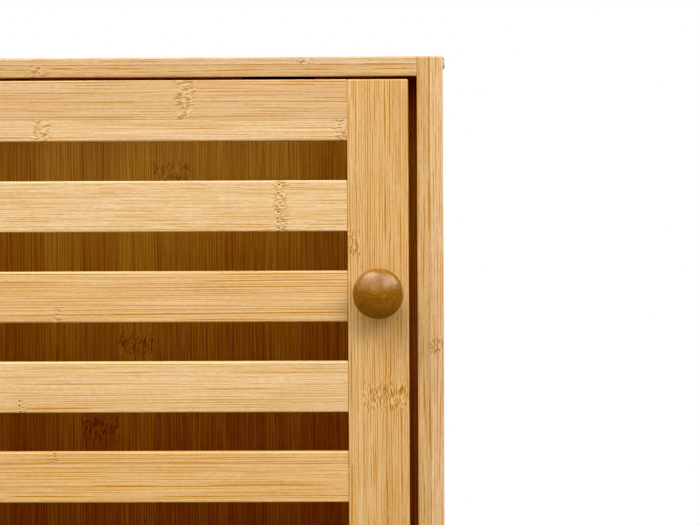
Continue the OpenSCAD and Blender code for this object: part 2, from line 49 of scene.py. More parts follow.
# Camera, as the photograph was taken

photo = {
    "width": 700,  # px
    "place": (0.1985, -2.638, 0.701),
    "yaw": 1.444,  # degrees to the left
    "tilt": -3.265,  # degrees, below the horizon
    "roll": -0.306,
    "focalPixels": 3631.6,
    "sensor": 36.0,
    "clip": (0.1, 60.0),
}
grade = {"toe": ((0.02, 0.006), (0.06, 0.045), (0.15, 0.145))}  # the darkest tones, from and to


def makeCamera():
    bpy.ops.object.camera_add(location=(0, 0, 0))
    camera = bpy.context.object
    camera.name = "photoCamera"
    camera.data.sensor_width = photo["sensor"]
    camera.data.lens = photo["focalPixels"] * photo["sensor"] / photo["width"]
    camera.data.clip_start, camera.data.clip_end = photo["clip"]
    aim = Matrix.Rotation(math.radians(photo["yaw"]), 4, "Z")
    aim = aim @ Matrix.Rotation(math.radians(90 + photo["tilt"]), 4, "X")
    aim = aim @ Matrix.Rotation(math.radians(photo["roll"]), 4, "Z")
    camera.matrix_world = Matrix.Translation(photo["place"]) @ aim
    bpy.context.scene.camera = camera


def gradePicture():  # a plain view with the photograph's deep shadows
    view = bpy.context.scene.view_settings
    view.view_transform = "Standard"
    view.use_curve_mapping = True
    combined = view.curve_mapping.curves[3]  # the one for all three colours together
    for place, height in grade["toe"]:
        combined.points.new(place, height)
    view.curve_mapping.update()


bpy.ops.object.select_all(action="DESELECT")  # the CAD nodes come in selected
makeCamera()
gradePicture()
print("camera: set")


# Nodes of a material or a group

def put(tree, kind, inputs=None, **settings):
    made = tree.nodes.new(kind)
    for name, value in settings.items():
        setattr(made, name, value)
    for name, value in (inputs or {}).items():
        if isinstance(value, bpy.types.NodeSocket):
            tree.links.new(value, made.inputs[name])
        else:
            made.inputs[name].default_value = value
    return made


def maths(tree, operation, a, b=0.0, c=0.0, clamp=False):
    inputs = {0: a, 1: b, 2: c}
    return put(tree, "ShaderNodeMath", inputs, operation=operation, use_clamp=clamp).outputs[0]


def joined(tree, x, y, z):
    return put(tree, "ShaderNodeCombineXYZ", {0: x, 1: y, 2: z}).outputs[0]


def noise(tree, vector, detail=2.0, roughness=0.5):
    inputs = {"Vector": vector, "Scale": 1.0, "Detail": detail, "Roughness": roughness}
    return put(tree, "ShaderNodeTexNoise", inputs).outputs["Fac"]


def fade(tree, value, low, high, start=0.0, end=1.0, smooth=True):
    inputs = {"Value": value, "From Min": low, "From Max": high, "To Min": start, "To Max": end}
    kind = "SMOOTHSTEP" if smooth else "LINEAR"
    return put(tree, "ShaderNodeMapRange", inputs, interpolation_type=kind).outputs[0]


def blend(tree, factor, a, b, kind="MIX"):
    made = put(tree, "ShaderNodeMix", data_type="RGBA", blend_type=kind, clamp_factor=True)
    for index, value in ((0, factor), (6, a), (7, b)):
        if isinstance(value, bpy.types.NodeSocket):
            tree.links.new(value, made.inputs[index])
        else:
            made.inputs[index].default_value = value
    return made.outputs[2]


def ramp(tree, factor, stops):
    made = put(tree, "ShaderNodeValToRGB", {0: factor})
    elements = made.color_ramp.elements
    while len(elements) < len(stops):
        elements.new(0.5)
    for element, (place, tone) in zip(elements, stops):
        element.position = place
        element.color = paint(*tone)
    return made.outputs[0]


def paint(red, green, blue):  # a colour of 0-255 screen values
    return tuple(((c / 255 + 0.055) / 1.055) ** 2.4 for c in (red, green, blue)) + (1.0,)


def scaled(tree, vector, factor):
    return put(tree, "ShaderNodeVectorMath", {0: vector, "Scale": factor}, operation="SCALE").outputs[0]


def inMillimetres(tree, vector):
    return scaled(tree, vector, 1 / mm)


def split(tree, vector):
    return put(tree, "ShaderNodeSeparateXYZ", {0: vector}).outputs


def ownPlace(tree):
    return put(tree, "ShaderNodeTexCoord").outputs["Object"]


surface = [("Color", "NodeSocketColor"), ("Roughness", "NodeSocketFloat"), ("Height", "NodeSocketFloat")]


def newGroup(name, inputs):  # a group that puts out a surface
    tree = bpy.data.node_groups.new(name, "ShaderNodeTree")
    for label, kind, value in inputs:
        made = tree.interface.new_socket(name=label, in_out="INPUT", socket_type=kind)
        if value is not None:
            made.default_value = value
    for label, kind in surface:
        tree.interface.new_socket(name=label, in_out="OUTPUT", socket_type=kind)
    return tree, tree.nodes.new("NodeGroupInput").outputs, tree.nodes.new("NodeGroupOutput")


def putOut(tree, out, values):
    for (label, kind), value in zip(surface, values):
        tree.links.new(value, out.inputs[label])


def newMaterial(name):
    material = bpy.data.materials.new(name)
    material.use_nodes = True
    tree = material.node_tree
    tree.nodes.clear()
    shader = tree.nodes.new("ShaderNodeBsdfPrincipled")
    out = tree.nodes.new("ShaderNodeOutputMaterial")
    tree.links.new(shader.outputs[0], out.inputs[0])
    return material, tree, shader


def roughen(tree, shader, height, strength, depth):
    bump = put(tree, "ShaderNodeBump", {"Height": height, "Strength": strength, "Distance": depth * mm})
    tree.links.new(bump.outputs[0], shader.inputs["Normal"])


def coatWith(tree, shader, made, strength, depth):  # a surface group, with its height as a bump
    tree.links.new(made.outputs["Color"], shader.inputs["Base Color"])
    tree.links.new(made.outputs["Roughness"], shader.inputs["Roughness"])
    roughen(tree, shader, made.outputs["Height"], strength, depth)


def finishNode(name, material):
    slots = cadNodes[name].data.materials
    slots.clear()
    slots.append(material)


# Bamboo: strips glued side by side, with fibres along them and a knuckle every so often. Where a
# pattern fades in, two numbers say from which value to which, and two more from what to what

bamboo = {
    "fibres": {  # mm along the grain, mm across it, detail, roughness
        "lines": (150.0, 0.58, 1.5, 0.6),
        "drift": (600.0, 2.4, 0.0, 0.5),
        "flecks": (4.5, 0.55, 1.0, 0.6),
        "hue": (150.0, 2.6, 2.0, 0.5),
        "bands": (260.0, 6.0, 1.0, 0.5),
    },
    "shortFibres": {  # the same, with the board's own length along the grain
        "weight": (0.7, 1.0, 0.5),
        "streaks": (0.66, 1.0, 0.5),
    },
    "apart": {"strip": 31.0, "stripDeep": 17.0, "layer": 43.0},  # mm, so that no two have the same fibres
    "chance": {"strip": 3.7, "layer": 1.9},  # the same for their random numbers
    "sway": {"along": 240.0, "across": 26.0, "reach": 3.0},  # mm, the fibres' slow bends
    "swing": {"along": 7.0, "across": 4.5, "reach": 3.8},  # mm, and those round a knuckle
    "hairs": {  # the finest lines: a comb across the grain, which fades in and out
        "gap": 1.5,  # mm, their usual spacing
        "lean": 0.83,  # how much their place changes with depth
        "drift": 1.8,  # spacings, how far they wander
        "middle": 0.485,
        "weight": (0.38, 0.6, 0.02, 0.2),
        "dark": (0.50, 0.62, 0.0, 1.0),
        "pale": (0.47, 0.36, 0.0, 0.55),
        "ends": (0.45, 0.62),
    },
    "body": (
        (0.30, "dark"), (0.39, "mid"), (0.45, "light"), (0.51, "pale"), (0.59, "light"), (0.70, "tan"),
    ),
    "pinkShare": (0.52, 0.68, 0.0, 0.16),
    "streakShare": (0.54, 0.64),
    "stripLight": {"range": 0.05, "least": 0.975},
    "bandLight": (0.3, 0.7, -0.025, 0.025),
    "fleckLight": (0.3, 0.7, -0.06, 0.06),
    "endShare": 0.6,
    "roughness": {"base": 0.38, "hairs": 0.16, "knuckle": 0.06},
    "height": {"hairs": 0.35, "lines": 0.5, "pits": 0.8, "glue": 0.6},
    "tones": {
        "dark": (198, 142, 62),
        "mid": (216, 167, 94),
        "pale": (242, 206, 160),
        "light": (230, 189, 137),
        "tan": (222, 178, 120),
        "caramel": (216, 157, 72),
        "pink": (232, 186, 150),
        "hair": (200, 139, 50),
        "burnt": (208, 144, 60),
        "dashDark": (160, 102, 34),
        "dashPale": (247, 213, 158),
        "pit": (98, 54, 12),
        "glue": (158, 104, 52),
        "endPale": (220, 174, 116),
        "endDark": (184, 134, 82),
    },
}
knuckle = {  # lengths in mm, shares of the knuckle's size where they say how far it reaches
    "raggedGap": 1.6,
    "ragged": (0.3, 0.7, -0.22, 0.22),
    "near": (0.95, 0.45),
    "flare": (1.7, 0.4),
    "slant": 0.4,  # how much of the fibres' swing its dashes take
    "dash": {"along": 3.4, "across": 0.85, "dark": (0.53, 0.62), "pale": (0.46, 0.37)},
    "patch": {"along": 6.5, "across": 3.4, "scorched": (0.50, 0.62)},
    "pit": {
        "gap": 4.8, "stretch": 1.3, "scatter": 0.6,
        "row": (3.4, 2.8), "rim": (0.30, 0.18), "hole": (0.17, 0.09),
    },
    "shares": {"scorch": 0.5, "dark": 0.75, "pale": 0.65, "rim": 0.6},
}
glueLine = {  # mm from the joint
    "line": (0.35, 0.12),
    # the pale line beside each glue line is a painted highlight, as of light catching the strip's edge
    "paintedHighlight": (1.1, 0.5),
    "shares": {"line": 0.5, "paintedHighlight": 0.25},
}


def makeBambooGroup():
    tree, given, out = newGroup("bambooStrips", [
        ("Vector", "NodeSocketVector", None),
        ("Strip Width", "NodeSocketFloat", 27.5),
        ("Seam", "NodeSocketFloat", 0.0),
        ("Knuckle Above", "NodeSocketFloat", 0.0),
        ("Knuckle Below", "NodeSocketFloat", 0.0),
        ("Pitch", "NodeSocketFloat", 300.0),
        ("Step", "NodeSocketFloat", 0.0),
        ("Scatter", "NodeSocketFloat", 0.0),
        ("Knuckle Size", "NodeSocketFloat", 9.0),
        ("Pits", "NodeSocketFloat", 0.6),
        ("Streaks", "NodeSocketFloat", 0.7),
        ("Hairs", "NodeSocketFloat", 1.0),
        ("Hair Run", "NodeSocketFloat", 75.0),
        ("Seed", "NodeSocketFloat", 0.0),
        ("Tint Above", "NodeSocketColor", (1.0, 1.0, 1.0, 1.0)),
        ("Tint Below", "NodeSocketColor", (1.0, 1.0, 1.0, 1.0)),
        ("Layer Seam", "NodeSocketFloat", 1000.0),
        ("Layer Shift", "NodeSocketFloat", 0.0),
        ("Layer Tint", "NodeSocketColor", (1.0, 1.0, 1.0, 1.0)),
        ("End Grain", "NodeSocketFloat", 0.0),
    ])
    tones = bamboo["tones"]

    def plus(a, b):
        return maths(tree, "ADD", a, b)

    def minus(a, b):
        return maths(tree, "SUBTRACT", a, b)

    def times(a, b):
        return maths(tree, "MULTIPLY", a, b)

    def over(a, b):
        return maths(tree, "DIVIDE", a, b)

    def timesPlus(a, b, c):
        return maths(tree, "MULTIPLY_ADD", a, b, c)

    def size(a):
        return maths(tree, "ABSOLUTE", a)

    def toward(factor, body, tone):
        return blend(tree, factor, body, paint(*tones[tone]))

    along, across, through = split(tree, inMillimetres(tree, given["Vector"]))

    # which strip, and how far from its glue line
    count = over(minus(across, given["Seam"]), given["Strip Width"])
    strip = maths(tree, "FLOOR", count)
    inside = minus(count, strip)
    edge = times(maths(tree, "PINGPONG", inside, 0.5), given["Strip Width"])
    layer = maths(tree, "GREATER_THAN", through, given["Layer Seam"])
    name = timesPlus(layer, bamboo["chance"]["layer"], given["Seed"])
    name = timesPlus(strip, bamboo["chance"]["strip"], name)
    chance = put(tree, "ShaderNodeTexWhiteNoise", {"W": name}, noise_dimensions="1D")
    dice = put(tree, "ShaderNodeSeparateColor", {0: chance.outputs["Color"]}).outputs
    odd = maths(tree, "FLOORED_MODULO", strip, 2.0)

    # distance along the strip from its nearest knuckle
    first = put(tree, "ShaderNodeMix", {0: odd, 2: given["Knuckle Above"], 3: given["Knuckle Below"]})
    shift = times(times(dice[0], given["Scatter"]), given["Pitch"])
    shift = timesPlus(strip, given["Step"], shift)
    shift = timesPlus(layer, given["Layer Shift"], shift)
    turns = over(minus(along, plus(first.outputs[0], shift)), given["Pitch"])
    away = times(minus(turns, maths(tree, "ROUND", turns)), given["Pitch"])
    far = over(size(away), given["Knuckle Size"])
    gap = knuckle["raggedGap"]
    ragged = noise(tree, joined(tree, name, over(across, gap), over(through, gap)), detail=1.0)
    far = plus(far, fade(tree, ragged, *knuckle["ragged"], smooth=False))
    near = fade(tree, far, *knuckle["near"])
    flare = fade(tree, far, *knuckle["flare"])

    # fibres run nearly straight, and swing a little round a knuckle
    def bends(bend):
        place = joined(tree, over(along, bend["along"]), over(across, bend["across"]), name)
        return noise(tree, place, detail=1.0)

    sway = bends(bamboo["sway"])
    swing = times(minus(bends(bamboo["swing"]), 0.5), times(flare, bamboo["swing"]["reach"]))
    side = plus(timesPlus(sway, bamboo["sway"]["reach"], across), swing)
    side = timesPlus(strip, bamboo["apart"]["strip"], side)
    deep = timesPlus(layer, bamboo["apart"]["layer"], through)
    deep = timesPlus(strip, bamboo["apart"]["stripDeep"], deep)

    def fibres(run, gap, detail, roughness):
        place = joined(tree, over(along, run), over(side, gap), over(deep, gap))
        return noise(tree, place, detail, roughness)

    lines, drift, flecks, hue, bands = (fibres(*bamboo["fibres"][kind])
                                        for kind in ("lines", "drift", "flecks", "hue", "bands"))
    weight, streaks = (fibres(given["Hair Run"], *bamboo["shortFibres"][kind])
                       for kind in ("weight", "streaks"))
    fine = bamboo["hairs"]
    comb = timesPlus(drift, fine["drift"], over(timesPlus(deep, fine["lean"], side), fine["gap"]))
    comb = maths(tree, "SINE", times(comb, math.tau))
    weight = fade(tree, weight, *fine["weight"])
    hairs = timesPlus(comb, times(weight, given["Hairs"]), fine["middle"])

    # colour
    body = ramp(tree, lines, [(place, tones[tone]) for place, tone in bamboo["body"]])
    body = blend(tree, given["Streaks"], paint(*tones["light"]), body)
    body = toward(fade(tree, hue, *bamboo["pinkShare"]), body, "pink")
    body = toward(times(fade(tree, streaks, *bamboo["streakShare"]), given["Streaks"]), body, "caramel")
    body = toward(fade(tree, hairs, *fine["dark"]), body, "hair")
    body = toward(fade(tree, hairs, *fine["pale"]), body, "pale")
    light = timesPlus(dice[1], bamboo["stripLight"]["range"], bamboo["stripLight"]["least"])
    light = plus(light, fade(tree, bands, *bamboo["bandLight"], smooth=False))
    light = plus(light, fade(tree, flecks, *bamboo["fleckLight"], smooth=False))
    warm = joined(tree, light, times(light, light), maths(tree, "POWER", light, 3.0))  # darker is warmer
    body = blend(tree, 1.0, body, warm, "MULTIPLY")

    # knuckle: short dashes, scorched patches and a row of pits
    shares = knuckle["shares"]
    slant = timesPlus(swing, knuckle["slant"], across)
    dash = joined(tree, over(along, knuckle["dash"]["along"]), over(slant, knuckle["dash"]["across"]),
                  over(deep, knuckle["dash"]["across"]))
    dash = noise(tree, dash, detail=1.0)
    patch = bends(knuckle["patch"])
    dark = times(fade(tree, dash, *knuckle["dash"]["dark"]), near)
    pale = times(fade(tree, dash, *knuckle["dash"]["pale"]), near)
    scorch = times(fade(tree, patch, *knuckle["patch"]["scorched"]), near)
    body = toward(times(scorch, shares["scorch"]), body, "burnt")
    body = toward(times(dark, shares["dark"]), body, "dashDark")
    body = toward(times(pale, shares["pale"]), body, "dashPale")
    pit = knuckle["pit"]
    cell = joined(tree, plus(over(away, pit["gap"] * pit["stretch"]), 0.5),
                  over(plus(across, through), pit["gap"]), 0.0)
    dots = put(tree, "ShaderNodeTexVoronoi", {"Vector": cell, "Scale": 1.0, "Randomness": pit["scatter"]},
               voronoi_dimensions="2D").outputs["Distance"]
    row = fade(tree, size(away), *pit["row"])
    rim = times(times(fade(tree, dots, *pit["rim"]), row), given["Pits"])
    pits = times(times(fade(tree, dots, *pit["hole"]), row), given["Pits"])
    body = toward(times(rim, shares["rim"]), body, "dashPale")
    body = toward(pits, body, "pit")

    # glue line, with a painted highlight beside it, and the ends of the fibres
    depth = size(minus(through, given["Layer Seam"]))
    glue = maths(tree, "MAXIMUM", fade(tree, edge, *glueLine["line"]), fade(tree, depth, *glueLine["line"]))
    paintedHighlight = times(fade(tree, edge, *glueLine["paintedHighlight"]), minus(1.0, glue))
    body = toward(times(glue, glueLine["shares"]["line"]), body, "glue")
    body = toward(times(paintedHighlight, glueLine["shares"]["paintedHighlight"]), body, "pale")
    ends = blend(tree, fade(tree, hairs, *fine["ends"]), paint(*tones["endPale"]), paint(*tones["endDark"]))
    body = blend(tree, times(given["End Grain"], bamboo["endShare"]), body, ends)
    body = blend(tree, 1.0, body, blend(tree, odd, given["Tint Above"], given["Tint Below"]), "MULTIPLY")
    body = blend(tree, layer, body, given["Layer Tint"], "MULTIPLY")

    dull, high = bamboo["roughness"], bamboo["height"]
    rough = timesPlus(near, dull["knuckle"], timesPlus(hairs, dull["hairs"], dull["base"]))
    height = timesPlus(hairs, high["hairs"], times(lines, high["lines"]))
    height = minus(minus(height, times(pits, high["pits"])), times(glue, high["glue"]))
    putOut(tree, out, (body, rough, height))
    return tree


bambooStrips = makeBambooGroup()

# How each board's grain lies: turn gives (along, across, through) from the object's own X, Y, Z,
# and along is the axis of its end grain
lays = {
    "levelFlat": {"turn": (0, 0, 0), "along": 0},  # grain along X, strips side by side in Y
    "levelUpright": {"turn": (-90, 0, 0), "along": 0},  # grain along X, strips one above the other
    "standingSide": {"turn": (0, 90, 0), "along": 2},  # grain along Z, strips side by side in Y
    "standingFront": {"turn": (90, 0, 90), "along": 2},  # grain along Z, strips side by side in X
}

# Lengths are mm. width: one strip's; seam: where one glue line lies across the board; above, below:
# where the strips on either side of it have a knuckle, along the board; pitch: from one knuckle to
# the next; step: how much further they lie in each strip than in the last; scatter: how much of a
# pitch they are moved by chance; size: how far a knuckle reaches; pits, streaks, hairs: how strong
# they are; run: length of the finest lines; layer: where two glued layers meet in the thickness;
# slide: how much further the knuckles beyond it lie; tint: strips above and below the seam, and the
# layer beyond the first; seed: chooses the fibres
boards = {
    "side_left": {"lay": "standingSide", "seam": 6, "above": 150, "below": 60, "scatter": 1, "seed": 1.3},
    # its outer layer is paler than its inner one: partly a glued layer of its own, partly painted light
    # falling on its outer side
    "side_right": {
        "lay": "standingSide", "seam": -112, "above": 620, "below": 577.6, "step": 77, "pitch": 400,
        "size": 6, "pits": 0.5, "streaks": 0.2, "hairs": 0.75, "run": 30,
        "layer": -190.7, "slide": -130, "seed": 4.1,
        "tint": [(0.96, 0.94, 0.96), (0.96, 0.94, 0.96), (0.9, 0.88, 0.76)],
    },
    # its top layer's paler, cooler tint is partly a glued layer of its own and partly painted light: the
    # light and whitish sheen falling on its top face
    "top_panel": {
        "lay": "levelFlat", "seam": -116, "above": 60, "below": 3.4, "step": 83,
        "size": 8, "pits": 0.2, "streaks": 0.2, "hairs": 0.75, "run": 24,
        "layer": 694.9, "slide": 183.6, "seed": 2.2,
        "tint": [(0.86, 0.80, 0.71), (0.86, 0.80, 0.71), (1.06, 1.15, 1.38)],
    },
    "bottom_panel": {"lay": "levelFlat", "seam": -120, "above": 20, "below": 75, "scatter": 1, "seed": 3.7},
    "back_panel": {  # its inner half is painted darker, as painted shade for the cabinet's shaded inside; the outer layer's tint lifts it back to a board tone
        "lay": "standingFront", "width": 28.35, "seam": 5.8, "above": 674.3, "below": 708.1, "step": 98,
        "pitch": 560, "size": 12, "pits": 0.1, "streaks": 1, "hairs": 1.4, "run": 50,
        "layer": 152, "seed": 5.9,
        "tint": [(0.36, 0.32, 0.12), (0.33, 0.275, 0.106), (2.4, 2.55, 5.6)],
    },
    "shelf": {"lay": "levelFlat", "seam": -104, "above": 60, "below": -40, "scatter": 1, "seed": 6.4},
    "plinth_rail": {"lay": "levelUpright", "seam": 40, "above": 90, "below": -30, "scatter": 1, "seed": 7.7},
    "rear_rail": {"lay": "levelUpright", "seam": 36, "above": -90, "below": 30, "scatter": 1, "seed": 8.1},
    "door_stile_left": {
        "lay": "standingFront", "seam": -158, "above": 300, "below": 221, "scatter": 1, "seed": 9.2,
    },
    "door_stile_right": {
        "lay": "standingFront", "width": 34, "seam": 144, "above": 465.4, "below": 571.3, "pitch": 420,
        "size": 11, "pits": 0, "hairs": 0.85, "run": 36, "seed": 1.8,
        "tint": [(0.93, 0.87, 0.72), (0.93, 0.87, 0.72)],
    },
    "door_rail_top": {
        "lay": "levelUpright", "seam": 657.5, "above": 22.4, "below": -76.5, "pitch": 209,
        "size": 9, "pits": 0.25, "streaks": 0.4, "hairs": 0.72, "seed": 2.9,
        "tint": [(0.94, 0.93, 0.92), (1.02, 1.05, 1.12)],
    },
    "door_rail_bottom": {"lay": "levelUpright", "seam": 88, "above": -110, "below": 40, "seed": 3.3},
    "slat_1": {
        "lay": "levelUpright", "width": 40, "seam": 578, "above": 88.1, "below": 88.1, "pitch": 420,
        "size": 6, "pits": 1, "streaks": 0.35, "hairs": 0.65, "run": 24, "seed": 4.6,
        "tint": [(1.06, 1.12, 1.18), (1.06, 1.12, 1.18)],
    },
    "slat_2": {
        "lay": "levelUpright", "seam": 528, "above": -250, "below": -66.7, "pitch": 420,
        "size": 4, "streaks": 0.6, "hairs": 1.15, "run": 100, "seed": 5.5,
        "tint": [(1.0, 0.96, 0.87), (1.0, 0.96, 0.87)],
    },
    "slat_3": {
        "lay": "levelUpright", "seam": 463.8, "above": -250, "below": -91.7, "pitch": 420,
        "size": 2.4, "pits": 1, "streaks": 0.3, "hairs": 0.7, "seed": 6.1,
        "tint": [(1.03, 1.02, 0.99), (1.03, 1.02, 0.99)],
    },
    "slat_4": {
        "lay": "levelUpright", "seam": 419.1, "above": -71.9, "below": -250, "pitch": 420,
        "size": 5, "seed": 7.2,
        "tint": [(1.0, 0.93, 0.75), (1.0, 0.93, 0.75)],
    },
    "slat_5": {"lay": "levelUpright", "seam": 340, "above": 40, "below": -60, "pitch": 420, "seed": 8.8},
    "slat_6": {"lay": "levelUpright", "seam": 277, "above": -20, "below": 95, "pitch": 420, "seed": 9.5},
    "slat_7": {"lay": "levelUpright", "seam": 217, "above": 75, "below": -30, "pitch": 420, "seed": 1.1},
    "slat_8": {"lay": "levelUpright", "seam": 150, "above": -100, "below": 10, "pitch": 420, "seed": 2.4},
}
usualBoard = {
    "width": 27.5, "pitch": 300, "step": 0, "scatter": 0, "size": 9, "pits": 0.6,
    "streaks": 0.45, "hairs": 0.9, "run": 60, "layer": 1000, "slide": 0, "tint": [],
}
boardInputs = {
    "Strip Width": "width", "Seam": "seam", "Knuckle Above": "above", "Knuckle Below": "below",
    "Pitch": "pitch", "Step": "step", "Scatter": "scatter", "Knuckle Size": "size", "Pits": "pits",
    "Streaks": "streaks", "Hairs": "hairs", "Hair Run": "run", "Layer Seam": "layer", "Layer Shift": "slide",
    "Seed": "seed",
}
tintInputs = ("Tint Above", "Tint Below", "Layer Tint")
boardFinish = {"endGrain": (0.6, 0.9), "bump": 0.4, "bumpDepth": 0.2, "specular": 0.2}


def makeBoardMaterial(name, board):
    material, tree, shader = newMaterial("bamboo_" + name)
    lay = lays[board["lay"]]
    turn = [math.radians(angle) for angle in lay["turn"]]
    turned = put(tree, "ShaderNodeMapping", {"Vector": ownPlace(tree), "Rotation": turn}).outputs[0]
    face = split(tree, put(tree, "ShaderNodeNewGeometry").outputs["Normal"])
    facing = fade(tree, maths(tree, "ABSOLUTE", face[lay["along"]]), *boardFinish["endGrain"])
    strips = put(tree, "ShaderNodeGroup", node_tree=bambooStrips)
    for label, key in boardInputs.items():
        strips.inputs[label].default_value = board[key]
    for label, tint in zip(tintInputs, board["tint"]):
        strips.inputs[label].default_value = tint + (1,)
    tree.links.new(turned, strips.inputs["Vector"])
    tree.links.new(facing, strips.inputs["End Grain"])
    coatWith(tree, shader, strips, boardFinish["bump"], boardFinish["bumpDepth"])
    shader.inputs["Specular IOR Level"].default_value = boardFinish["specular"]
    return material


for name, board in boards.items():
    finishNode(name, makeBoardMaterial(name, {**usualBoard, **board}))
print("bamboo:", len(boards), "boards")


# Metal, plastic and stained wood

metalSkin = {
    "scratches": 6.0,  # to a mm, across the rolling
    "smear": 0.35,  # to a mm
    "tone": (0.35, 0.7, 0.86, 1.06),
    "roughness": {"scratches": 0.16, "smear": 0.12},
    "bump": 0.15,
    "bumpDepth": 0.1,  # mm
}
plasticSkin = {
    "mist": 0.12,  # to a mm
    "tone": (0.3, 0.7, 0.95, 1.03),
    "roughness": {"base": 0.36, "grain": 0.2},
    "bump": 0.25,
    "bumpDepth": 0.1,  # mm
}
metals = {  # run: mm, how long a scratch is
    "platedSteel": {"colour": (196, 194, 190), "run": 8.0, "dullness": 0.18},
    "brightSteel": {"colour": (206, 204, 198), "run": 1.6, "dullness": 0.2},
    "screwSteel": {"colour": (140, 134, 124), "run": 2.0, "dullness": 0.24},
    "magnetBlock": {"colour": (66, 66, 70), "run": 1.0, "dullness": 0.42},
}
plastics = {  # grain: mm, the size of its pebbles
    "catchPlastic": {"colour": (78, 50, 30), "grain": 0.5},
    "glidePlastic": {"colour": (58, 52, 47), "grain": 0.7},
}


def shaded(tree, colour, value, span):  # a colour that a slow pattern makes darker and lighter
    tone = fade(tree, value, *span)
    return blend(tree, 1.0, colour, joined(tree, tone, tone, tone), "MULTIPLY")


def makeMetalGroup():
    tree, given, out = newGroup("rolledMetal", [
        ("Vector", "NodeSocketVector", None),
        ("Color", "NodeSocketColor", (0.6, 0.6, 0.6, 1.0)),
        ("Run", "NodeSocketFloat", 8.0),
        ("Dullness", "NodeSocketFloat", 0.3),
    ])
    place = inMillimetres(tree, given["Vector"])
    x, y, z = split(tree, place)
    fine = metalSkin["scratches"]
    scratch = joined(tree, maths(tree, "MULTIPLY", x, fine), maths(tree, "MULTIPLY", y, fine),
                     maths(tree, "DIVIDE", z, given["Run"]))
    scratch = noise(tree, scratch, detail=2.0, roughness=0.6)
    smear = noise(tree, scaled(tree, place, metalSkin["smear"]), detail=3.0)
    body = shaded(tree, given["Color"], smear, metalSkin["tone"])
    dull = metalSkin["roughness"]
    rough = maths(tree, "MULTIPLY_ADD", smear, dull["smear"], given["Dullness"])
    rough = maths(tree, "MULTIPLY_ADD", scratch, dull["scratches"], rough)
    putOut(tree, out, (body, rough, scratch))
    return tree


def makeSkinGroup():
    tree, given, out = newGroup("mouldedSkin", [
        ("Vector", "NodeSocketVector", None),
        ("Color", "NodeSocketColor", (0.8, 0.8, 0.8, 1.0)),
        ("Grain", "NodeSocketFloat", 0.6),
    ])
    place = inMillimetres(tree, given["Vector"])
    small = put(tree, "ShaderNodeVectorMath", {0: place, 1: (1, 1, 1)}, operation="DIVIDE")
    tree.links.new(given["Grain"], small.inputs[1])
    pebble = noise(tree, small.outputs[0], detail=2.0, roughness=0.6)
    mist = noise(tree, scaled(tree, place, plasticSkin["mist"]), detail=2.0)
    body = shaded(tree, given["Color"], mist, plasticSkin["tone"])
    dull = plasticSkin["roughness"]
    rough = maths(tree, "MULTIPLY_ADD", pebble, dull["grain"], dull["base"])
    putOut(tree, out, (body, rough, pebble))
    return tree


rolledMetal = makeMetalGroup()
mouldedSkin = makeSkinGroup()


def makeSkinned(name, group, skin, look, inputs):  # inputs: the group's own, and where look has them
    material, tree, shader = newMaterial(name)
    made = put(tree, "ShaderNodeGroup", node_tree=group)
    tree.links.new(ownPlace(tree), made.inputs["Vector"])
    made.inputs["Color"].default_value = paint(*look["colour"])
    for label, key in inputs.items():
        made.inputs[label].default_value = look[key]
    coatWith(tree, shader, made, skin["bump"], skin["bumpDepth"])
    return material, shader


def makeMetal(name, look):
    material, shader = makeSkinned(name, rolledMetal, metalSkin, look, {"Run": "run", "Dullness": "dullness"})
    shader.inputs["Metallic"].default_value = 1.0
    return material


def makePlastic(name, look):
    return makeSkinned(name, mouldedSkin, plasticSkin, look, {"Grain": "grain"})[0]


woods = {  # spacing: mm, the grain's size along X, Y and Z once it is turned by slant
    "stainedWood": {
        "spacing": (9.0, 0.8, 0.8), "slant": -28, "dark": (120, 71, 3), "mid": (148, 93, 6),
        "light": (174, 117, 20), "gloss": 0.34, "shine": 1.0, "sheen": (1.0, 0.84, 0.64),
    },
    "dowelWood": {
        "spacing": (22.0, 0.9, 0.9), "slant": 0, "dark": (196, 160, 112), "mid": (212, 178, 130),
        "light": (224, 192, 146), "gloss": 0.62, "shine": 0.4, "sheen": (1.0, 1.0, 1.0),
    },
}
woodGrain = {
    "stops": ((0.35, "dark"), (0.52, "mid"), (0.68, "light")),
    "clouds": 60,  # to a metre
    "cloudShare": (0.4, 0.7, 0.0, 0.35),
    "lines": (0.3, 0.7),
    "glossRange": (0.05, -0.02),
    "bump": 0.08,
    "bumpDepth": 0.1,  # mm
}


def makeGrainWood(name, look):
    material, tree, shader = newMaterial(name)
    place = ownPlace(tree)
    turn = (0, math.radians(look["slant"]), 0)
    turned = put(tree, "ShaderNodeMapping", {"Vector": place, "Rotation": turn}).outputs[0]
    stretch = [1 / mm / size for size in look["spacing"]]
    grain = put(tree, "ShaderNodeMapping", {"Vector": turned, "Scale": stretch}).outputs[0]
    lines = noise(tree, grain, detail=3.0, roughness=0.6)
    body = ramp(tree, lines, [(stop, look[tone]) for stop, tone in woodGrain["stops"]])
    clouds = noise(tree, scaled(tree, place, woodGrain["clouds"]), detail=2.0)
    clouds = fade(tree, clouds, *woodGrain["cloudShare"])
    tree.links.new(blend(tree, clouds, body, paint(*look["dark"])), shader.inputs["Base Color"])
    gloss = [look["gloss"] + change for change in woodGrain["glossRange"]]
    tree.links.new(fade(tree, lines, *woodGrain["lines"], *gloss), shader.inputs["Roughness"])
    roughen(tree, shader, lines, woodGrain["bump"], woodGrain["bumpDepth"])
    shader.inputs["Specular IOR Level"].default_value = look["shine"]
    shader.inputs["Specular Tint"].default_value = look["sheen"] + (1,)
    return material


finishes = {name: makeMetal(name, look) for name, look in metals.items()}
finishes.update({name: makePlastic(name, look) for name, look in plastics.items()})
finishes.update({name: makeGrainWood(name, look) for name, look in woods.items()})

